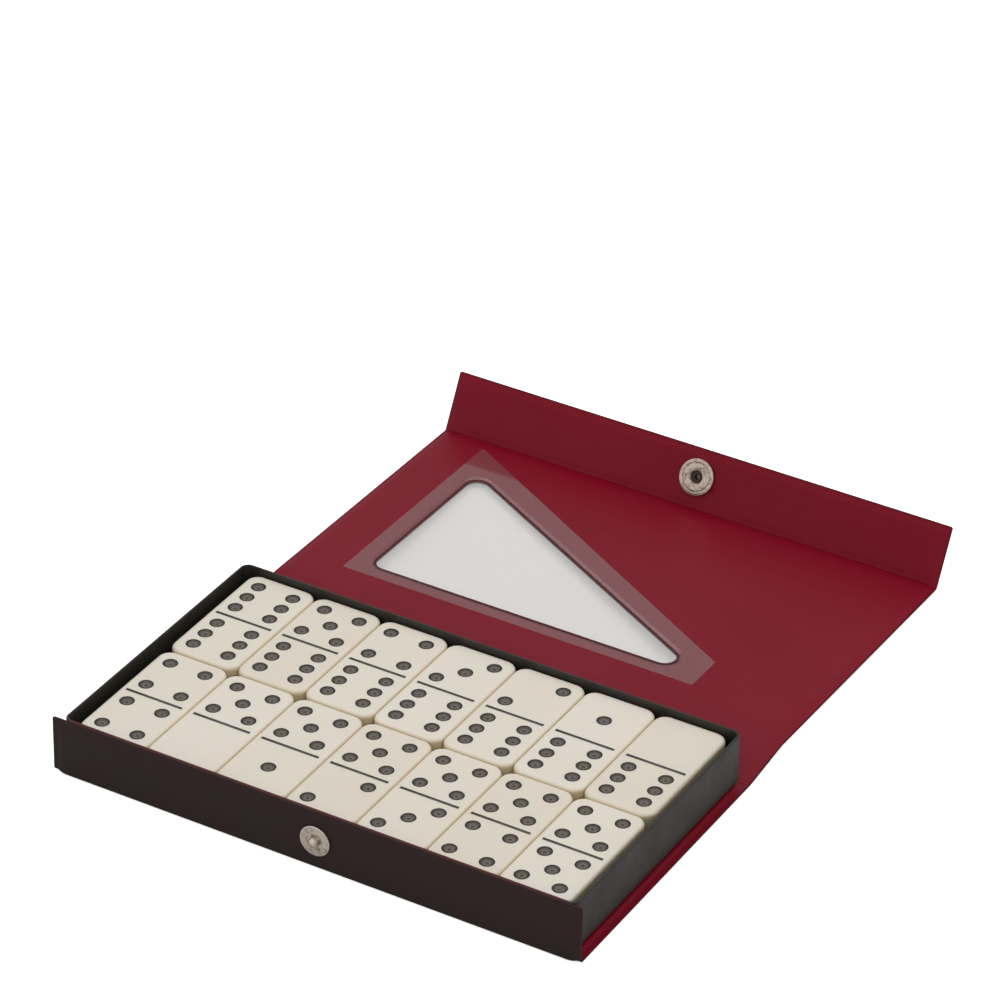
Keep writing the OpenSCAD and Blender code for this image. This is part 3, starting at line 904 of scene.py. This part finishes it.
# One vinyl sheet over the places xs and vs. Its free end is the low one where sign is 1; hole
# is the place and radius of the snap's hole
def buildSheet(name, sheetName, xs, vs, corner, sign, hole, height, place):
    sheet, grid, windowed = sheets[sheetName], sheetGrid, name == "lid"
    side, half, free = sheet["side"], xs[-1], vs[0] if sign > 0 else vs[-1]
    radius = hole[2] if hole else 0.0

    def kept(x, v, cornerRoom, holeSize, windowRoom):
        return (
            insideCorners(x, v, half, corner - cornerRoom, free + sign * cornerRoom, sign)
            and not (hole and math.hypot(x - hole[0], v - hole[1]) < holeSize)
            and not (windowed and windowDistance(x, v) < windowRoom)
        )

    def heights(x, v):
        outer = height(x, v)
        return side * outer, side * (outer - sheetT)

    points = [
        (x, v) for x in xs[1:-1] for v in vs[1:-1]
        if kept(x, v, grid["cornerRoom"], radius + grid["holeRoom"], windowShape["room"])
    ]
    loops = [outlineLoop(xs, vs, corner, sign)]
    if hole:
        loops.append(ringLoop(*hole))
    if windowed:
        loops += [windowLoop(grown, step) for grown, step in windowShape["rings"]]
    node = name + "_" + sheetName
    piece = sheetPiece(
        node + "_vinyl", points, loops,
        lambda x, v: kept(x, v, 0.0, radius * grid["holeShare"], grid["margin"]),
        heights, place, sheet["material"],
    )
    settle(piece, name, sheet["slot"], node)


def buildPanel(name, sheetName):
    panel, grid, lip = panels[name], sheetGrid, sheets[sheetName]["lip"]
    free, low = panel["free"], wallet["stripHalf"]
    high = panel["depth"] - (lip if free else low)
    middleV = (low + high) / 2
    vs = {low + f for f in grid["fold"] if low + f < middleV}
    if free:
        vs |= {high - f for f in grid["edge"]}
    else:
        vs |= {high - f for f in grid["fold"] if high - f > middleV}
    vs = sorted(vs)
    for a, b in list(zip(vs, vs[1:])):
        if b - a > grid["step"]:
            count = round((b - a) / grid["fill"])
            vs += [a + (b - a) * k / count for k in range(1, count)]
    look = vinylRelief
    buildSheet(
        name, sheetName, placesAcross(halfWidth - lip), sorted(vs),
        wallet["freeCorner"] if free else 0.0, -1,
        (look["snapX"], look["snapDrop"], look["postHole"]) if free else None,
        lambda x, v: panelHeight(name, sheetName, x, v), panelPlace(panel["frame"]),
    )


for panelName in panels:
    for panelSheet in sheets:
        buildPanel(panelName, panelSheet)


studHeight = middle("snap_stud").z / mm


def baseHeight(sheetName, x, s):
    look = vinylRelief
    ease = cornerDistance(halfWidth - abs(x), s) * wallet["frontEase"]
    rise = edgeRise(ease) * foldRise(baseLength - s)
    lift = 0.0
    studDistance = math.hypot(x - look["snapX"], wallet["frontTop"] - s - studHeight)
    if sheetName == "cover" and s < frontDrop and studDistance >= look["studSeat"]:
        lift = sinking(x, s, look["frontSeed"]) * smooth(s / look["frontTopRun"])
        lift *= smooth((frontDrop - s) / look["frontFootRun"])
        lift += dimple(studDistance, look["studRing"])
    return sheetT + (padH - sheetT) * rise + lift * rise


def buildBase(sheetName):
    sheet, grid = sheets[sheetName], sheetGrid
    end, bendEnd = baseLength - wallet["stripHalf"], frontDrop + bend["arc"]
    ss = {sheet["lip"], *grid["edge"][1:], *grid["frontRows"]}
    ss |= {frontDrop + bend["arc"] * k / grid["bendRows"] for k in range(grid["bendRows"] + 1)}
    ss |= {end - f for f in grid["baseFold"]}
    ss |= {bendEnd + grid["baseStart"] + k * grid["baseStep"] for k in range(grid["baseRows"])}
    buildSheet(
        "base", sheetName, placesAcross(halfWidth - sheet["lip"]),
        sorted(s for s in ss if s <= end), wallet["freeCorner"], 1,
        (vinylRelief["snapX"], wallet["frontTop"] - studHeight, sheet["frontHole"]),
        lambda x, s: baseHeight(sheetName, x, s), basePlace(bend[sheetName]),
    )


buildBase("cover")
buildBase("lining")
print("Vinyl panels made")

foldStrip = {
    "columns": 150, "rows": 18,
    "steps": 400,  # along the middle line while it is being traced
    "tight": 0.40,  # the turn happens within this share of the strip
    "groove": 0.16, "grooveHalf": 0.2, "pucker": 0.10, "puckerSize": 3.4, "puckerAlong": 0.7,
    "hold": 0.75,  # share of the strip's half
}


# Middle line of a fold in its parent's frame: y, z and direction from one end to the other
def foldPath(turn, rows):
    total, tight, steps = math.radians(turn), foldStrip["tight"], foldStrip["steps"]
    y, z, line = 0.0, 0.0, []
    for k in range(steps + 1):
        t = -1 + 2 * k / steps
        angle = total * smooth(t / (2 * tight) + 0.5)
        line.append((y, z, angle))
        y += math.cos(angle) * 2 / steps
        z += math.sin(angle) * 2 / steps
    reach = math.hypot(line[-1][0], line[-1][1]) / (2 * math.cos(total / 2))
    scale = wallet["stripHalf"] / reach
    picked = [line[round(k * steps / rows)] for k in range(rows + 1)]
    return [(p[0] * scale - wallet["stripHalf"], p[1] * scale, p[2]) for p in picked]


def buildFold(name, fold, sheetName, seed):
    sheet, matrix, turn = sheets[sheetName], fold["frame"], fold["turn"]
    rows, columns = foldStrip["rows"], foldStrip["columns"]
    half = halfWidth - sheet["lip"]
    xs = [half * (2 * k / columns - 1) for k in range(columns + 1)]

    def height(x, t):
        atSide = edgeRise(halfWidth - abs(x))
        pad = (padH - sheetT) * wallet["foldPad"] * atSide
        groove = -foldStrip["groove"] * math.exp(-((t / foldStrip["grooveHalf"]) ** 2)) * atSide
        wave = noiseAt(x / foldStrip["puckerSize"], t * foldStrip["puckerAlong"], seed)
        return sheetT + pad + groove + foldStrip["pucker"] * wave * (1 - smooth(abs(t))) * atSide

    bm = bmesh.new()
    top, low = [], []
    for k, (y, z, angle) in enumerate(foldPath(turn, rows)):
        t = -1 + 2 * k / rows
        normal = Vector((0, -math.sin(angle), math.cos(angle))) * sheet["side"]
        for line, share in ((top, 1.0), (low, 0.0)):
            line.append([
                bm.verts.new(matrix @ (Vector((x, y, z)) + normal * height(x, t) * share) * mm)
                for x in xs
            ])
    rim = []
    for k in range(rows):
        for i in range(columns):
            bm.faces.new((top[k][i], top[k][i + 1], top[k + 1][i + 1], top[k + 1][i]))
            bm.faces.new((low[k][i], low[k + 1][i], low[k + 1][i + 1], low[k][i + 1]))
        for i in (0, columns):
            rim.append(bm.faces.new((top[k][i], top[k + 1][i], low[k + 1][i], low[k][i])))
    for k in (0, rows):
        for i in range(columns):
            rim.append(bm.faces.new((top[k][i], top[k][i + 1], low[k][i + 1], low[k][i])))
    sharp = {edge for face in rim for edge in face.edges}
    piece = addObject(name, makeMesh(name, bm, sheet["material"], sharp))
    inner = foldStrip["hold"] * wallet["stripHalf"]
    end = matrix @ turnX(turn) @ Vector((0, inner, 0)) * mm
    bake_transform(piece)


folds = {
    "spine_fold": {
        "frame": foldFrame, "turn": wallet["spineRise"], "parent": "base", "child": "spine",
        "seeds": {"cover": 50, "lining": 60},
    },
    "lid_fold": {
        "frame": spineEnd, "turn": -wallet["lidDrop"], "parent": "spine", "child": "lid",
        "seeds": {"cover": 51, "lining": 61},
    },
    "flap_fold": {
        "frame": lidEnd, "turn": wallet["flapTurn"], "parent": "lid", "child": "flap",
        "seeds": {"cover": 52, "lining": 62},
    },
}
for foldName, fold in folds.items():
    for foldSheet, seed in fold["seeds"].items():
        buildFold(foldName + "_" + foldSheet, fold, foldSheet, seed)
print("Folds made")


def buildFilm(look):
    (left, foot), right, top = filmCorners[0], filmCorners[1].x, filmCorners[3].y
    outline = []
    for a, b in zip(filmCorners, filmCorners[1:] + filmCorners[:1]):
        count = max(2, round((b - a).length / look["step"]))
        outline += [a.lerp(b, k / count) for k in range(count)]

    def rows(low, high):
        first = low + look["start"]
        return [first + k * look["step"] for k in range(math.ceil((high - first) / look["step"]))]

    def usable(x, v):
        away = windowDistance(x, v)
        return (filmDistance(x, v) < -look["edgeRoom"]
                and (away < look["ringsFrom"] or away > look["ringsTo"]))

    def heights(x, v):
        away = windowDistance(x, v)
        ripple = look["sag"] * noiseAt(x / look["sagSize"], v / look["sagSize"], look["sagSeed"])
        spanned = sheetT + ripple * smooth((look["spanFrom"] - away) / look["spanRun"])
        seat = smooth((away - look["seatFrom"]) / look["seatRun"])
        bottom = look["cling"] + spanned + (padH - spanned) * seat
        return bottom + look["thickness"], bottom

    points = [(x, v) for x in rows(left, right) for v in rows(foot, top) if usable(x, v)]
    loops = [outline] + [windowLoop(grown, step) for grown, step in look["rings"]]
    piece = sheetPiece(
        "window_film_clear", points, loops,
        lambda x, v: filmDistance(x, v) < -sheetGrid["margin"], heights,
        panelPlace(lidFrame), clearFilm,
    )
    settle(piece, "lid", "clear_film", "window_film")


buildFilm(filmShape)
print("Window film laid")

# Enamel in the dominoes' recesses, in mm: a thin skin on the pip's wall, floor and drill mark
pipShape = {
    "radius": 2.4, "slope": 0.45, "depth": 0.4, "markRadius": 0.55, "markDepth": 0.3,
    "skin": 0.02, "tipSkins": 3,  # the enamel is that much thicker in the drill mark's tip
    "rimIn": 0.02, "rimDown": 0.012,  # the skin ends this far in and down from the rim
    "back": 0.1,  # the skin's closing side lies this far under its tip, in the resin
    "sides": 16, "columnX": 6.25, "rowY": 6.6, "halfMiddle": 11.7,
}
lineShape = {
    "length": 20.0, "width": 1.1, "depth": 0.4, "skin": 0.02, "endIn": 0.02, "sideIn": 0.01,
    "top": 0.03,
    "floorShare": 0.72,  # the floor turns up into the walls at this share of the half width
    "floorRise": 0.05, "back": 0.15,
    # the walls' greater reach gives them painted shade
    "reachFloor": 0.5,  # the enamel's reach on the floor's middle, and what the wall adds
    "reachWall": 0.4,
}


def pipSkin(look):
    bm = bmesh.new()
    reach = bm.verts.layers.float.new("reach")
    # the reach sets where the enamel shader paints shade: on the wall and in the drill mark
    skin, sides = look["skin"], look["sides"]
    mark = -look["depth"] - look["markDepth"]
    rings = [
        (look["radius"] - look["rimIn"], -look["rimDown"]),
        (look["radius"] - look["slope"] - skin, -look["depth"] + skin),
        (look["markRadius"], -look["depth"] + skin),
    ]
    tip = bm.verts.new((0, 0, (mark + look["tipSkins"] * skin) * mm))
    base = bm.verts.new((0, 0, (mark - look["back"]) * mm))
    made = []
    for radius, z in rings:
        circle = ringLoop(0, 0, radius, sides)
        made.append([bm.verts.new((x * mm, y * mm, z * mm)) for x, y in circle])
        for vert in made[-1]:
            vert[reach] = radius / look["radius"]
    for k in range(sides):
        n = (k + 1) % sides
        for outer, inner in zip(made, made[1:]):
            bm.faces.new((outer[k], outer[n], inner[n], inner[k]))
        bm.faces.new((made[-1][k], made[-1][n], tip))
        bm.faces.new((made[0][n], made[0][k], base))
    return bpy.data.objects.new("PipSkin", makeMesh("PipSkin", bm, blackEnamel, ()))


def lineSkin(look):
    bm = bmesh.new()
    reach = bm.verts.layers.float.new("reach")
    length, width = look["length"] / 2 - look["endIn"], look["width"] / 2 - look["sideIn"]
    floor = -look["depth"] + look["skin"]
    turnUp, back = width * look["floorShare"], floor - look["back"]
    profile = [
        (-width, -look["top"]), (-turnUp, floor + look["floorRise"]), (0, floor),
        (turnUp, floor + look["floorRise"]), (width, -look["top"]), (width, back), (-width, back),
    ]
    ends = [
        [bm.verts.new((x * mm, y * mm, z * mm)) for y, z in profile] for x in (-length, length)
    ]
    for end in ends:
        for vert, (y, _) in zip(end, profile):
            vert[reach] = look["reachFloor"] + look["reachWall"] * abs(y) / width
    for k in range(len(profile)):
        n = (k + 1) % len(profile)
        bm.faces.new((ends[0][k], ends[0][n], ends[1][n], ends[1][k]))
    bm.faces.new(ends[0])
    bm.faces.new(list(reversed(ends[1])))
    return bpy.data.objects.new("LineSkin", makeMesh("LineSkin", bm, blackEnamel, ()))


def socketId(tree, name):
    return next(s.identifier for s in tree.interface.items_tree
                if s.item_type == "SOCKET" and s.in_out == "INPUT" and s.name == name)


def newTree(name, inputs):
    tree = bpy.data.node_groups.new(name, "GeometryNodeTree")
    tree.interface.new_socket("Geometry", in_out="INPUT", socket_type="NodeSocketGeometry")
    for label, kind, value in inputs:
        made = tree.interface.new_socket(label, in_out="INPUT", socket_type=kind)
        if value is not None:
            made.default_value = value
    tree.interface.new_socket("Geometry", in_out="OUTPUT", socket_type="NodeSocketGeometry")
    return tree, addNode(tree, "NodeGroupInput").outputs


def endTree(tree, geometry, material):
    real = addNode(tree, "GeometryNodeRealizeInstances", {0: geometry})
    painted = addNode(
        tree, "GeometryNodeSetMaterial", {"Material": material, "Geometry": real.outputs[0]},
    )
    addNode(tree, "NodeGroupOutput", {0: painted.outputs[0]})
    return tree


# Runs a tree on a start mesh and keeps the result as a plain mesh piece
def runTree(name, startMesh, tree, inputs, material):
    carrier = addObject(name, startMesh)
    modifier = carrier.modifiers.new("Build", "NODES")
    modifier.node_group = tree
    for label, value in inputs.items():
        modifier[socketId(tree, label)] = value
    bpy.context.view_layer.update()
    graph = bpy.context.evaluated_depsgraph_get()
    mesh = bpy.data.meshes.new_from_object(carrier.evaluated_get(graph))
    carrier.modifiers.remove(modifier)
    bpy.data.objects.remove(carrier)
    mesh.name = name
    mesh.materials.clear()
    mesh.materials.append(material)
    for polygon in mesh.polygons:
        polygon.use_smooth = True
        polygon.material_index = 0
    return addObject(name, mesh)


# Lays a flattened bead along the edges of the start mesh
def beadTree():
    tree, given = newTree("BeadAlongEdge", [
        ("Half width", "NodeSocketFloat", 0.5),
        ("Flatness", "NodeSocketFloat", 0.14),
        ("Sides", "NodeSocketInt", 8),
        ("Unevenness", "NodeSocketFloat", 0.08),
        ("Seed", "NodeSocketInt", 3),
    ])
    path = addNode(tree, "GeometryNodeMeshToCurve", {"Mesh": given["Geometry"]})
    level = addNode(tree, "GeometryNodeSetCurveNormal", {"Curve": path.outputs[0]}, mode="Z_UP")
    wobble = addNode(tree, "FunctionNodeRandomValue", {
        "Min": calculate(tree, "SUBTRACT", 1.0, given["Unevenness"]),
        "Max": calculate(tree, "ADD", 1.0, given["Unevenness"]), "Seed": given["Seed"],
    }, data_type="FLOAT")
    ring = addNode(
        tree, "GeometryNodeCurvePrimitiveCircle",
        {"Resolution": given["Sides"], "Radius": given["Half width"]},
    )
    squeeze = addNode(
        tree, "ShaderNodeCombineXYZ", {"X": 1.0, "Y": given["Flatness"], "Z": 1.0},
    )
    profile = addNode(
        tree, "GeometryNodeTransform", {"Geometry": ring.outputs[0], "Scale": squeeze.outputs[0]},
    )
    bead = addNode(tree, "GeometryNodeCurveToMesh", {
        "Curve": level.outputs[0], "Profile Curve": profile.outputs[0],
        "Scale": wobble.outputs[1], "Fill Caps": True,
    })
    return endTree(tree, bead.outputs[0], weldedShadedVinyl)


# Lines that the welding bar leaves, darkened with painted shade, in mm: round the window, standing
# over the film's underside, and behind the front's top edge
weldBeads = {
    "window": {"out": 0.15, "over": 0.27, "step": 1.0, "halfWidth": 0.52, "flatness": 0.14},
    "front": {
        "end": 6.0, "back": 0.58, "down": 0.20, "step": 2.0, "halfWidth": 0.58,
        "flatness": 0.32,
    },
}


def layBead(name, points, closed, look, matrix, body, tree):
    edges = [(k, k + 1) for k in range(len(points) - 1)]
    start = bpy.data.meshes.new(name)
    start.from_pydata(points, edges + ([(len(points) - 1, 0)] if closed else []), [])
    piece = runTree(name, start, tree, {
        "Half width": look["halfWidth"], "Flatness": look["flatness"],
    }, weldedShadedVinyl)
    piece.data.transform(Matrix.Scale(mm, 4) @ matrix)
    settle(piece, body, "vinyl_red")


def layBeads():
    tree = beadTree()
    look = weldBeads["window"]
    height = sheetT + filmShape["cling"] + look["over"]
    points = [(p.x, p.y, height) for p in windowLoop(look["out"], look["step"])]
    layBead("window_weld", points, True, look, lidFrame, "lid", tree)
    look = weldBeads["front"]
    reach = halfWidth - look["end"]
    y, z = wallet["frontMid"] + look["back"], wallet["frontTop"] - look["down"]
    count = round(2 * reach / look["step"])
    points = [(reach * (2 * k / count - 1), y, z) for k in range(count + 1)]
    layBead("front_weld", points, False, look, Matrix(), "base", tree)


layBeads()
print("Welds laid")


# Puts an enamel skin in every recess: points with line = 1 get the dividing line, others a pip
def enamelTree():
    tree, given = newTree("EnamelInRecesses", [
        ("Pip", "NodeSocketObject", None),
        ("Line", "NodeSocketObject", None),
        ("Turn jitter", "NodeSocketFloat", 3.0),
        ("Seed", "NodeSocketInt", 4),
    ])
    isLine = addNode(
        tree, "GeometryNodeInputNamedAttribute", {"Name": "line"}, data_type="BOOLEAN",
    )
    points = addNode(tree, "GeometryNodeMeshToPoints", {"Mesh": given["Geometry"]})
    parts = addNode(
        tree, "GeometryNodeSeparateGeometry",
        {"Geometry": points.outputs[0], "Selection": isLine.outputs[0]}, domain="POINT",
    ).outputs
    pip, line = (
        addNode(tree, "GeometryNodeObjectInfo", {"Object": given[name]}).outputs["Geometry"]
        for name in ("Pip", "Line")
    )
    spin = addNode(
        tree, "FunctionNodeRandomValue", {"Max": given["Turn jitter"], "Seed": given["Seed"]},
        data_type="FLOAT",
    )
    turn = addNode(tree, "ShaderNodeCombineXYZ", {"Z": spin.outputs[1]})
    pips = addNode(
        tree, "GeometryNodeInstanceOnPoints",
        {"Points": parts["Inverted"], "Instance": pip, "Rotation": turn.outputs[0]},
    )
    lines = addNode(
        tree, "GeometryNodeInstanceOnPoints", {"Points": parts["Selection"], "Instance": line},
    )
    joined = addNode(tree, "GeometryNodeJoinGeometry", {0: pips.outputs[0]})
    tree.links.new(lines.outputs[0], joined.inputs[0])
    return endTree(tree, joined.outputs[0], blackEnamel)


def pipPlaces(count):
    places = []
    if count % 2:
        places.append((0, 0))
    if count > 1:
        places += [(-1, -1), (1, 1)]
    if count > 3:
        places += [(-1, 1), (1, -1)]
    if count == 6:
        places += [(-1, 0), (1, 0)]
    return places


# Far half first, as the dominoes lie in the tray, from left to right
dominoRows = {
    "lower_front": ["30", "22", "21", "20", "11", "10", "00"],
    "lower_back": ["43", "42", "41", "40", "33", "32", "31"],
    "upper_front": ["44", "50", "51", "52", "53", "54", "55"],
    "upper_back": ["66", "56", "46", "36", "26", "16", "06"],
}


def paintDominoes(look):
    tree = enamelTree()
    pip, line = pipSkin(look), lineSkin(lineShape)
    for halves in (pair for row in dominoRows.values() for pair in row):
        far, near = int(halves[0]), int(halves[1])
        name = "tile_%d_%d" % (max(far, near), min(far, near))
        low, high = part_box(name)
        centre = Vector(((low.x + high.x) / 2, (low.y + high.y) / 2, high.z))
        spots, flags = [centre], [True]
        for count, sign in ((far, 1), (near, -1)):
            for column, row in pipPlaces(count):
                x, y = column * look["columnX"], sign * look["halfMiddle"] + row * look["rowY"]
                spots.append(centre + Vector((x, y, 0)) * mm)
                flags.append(False)
        start = bpy.data.meshes.new(name + "_spots")
        start.from_pydata(spots, [], [])
        mark = start.attributes.new("line", "BOOLEAN", "POINT")
        mark.data.foreach_set("value", flags)
        piece = runTree(name + "_enamel", start, tree, {"Pip": pip, "Line": line}, blackEnamel)
        settle(piece, name, "pip_paint")


paintDominoes(pipShape)
print("Dominoes painted")
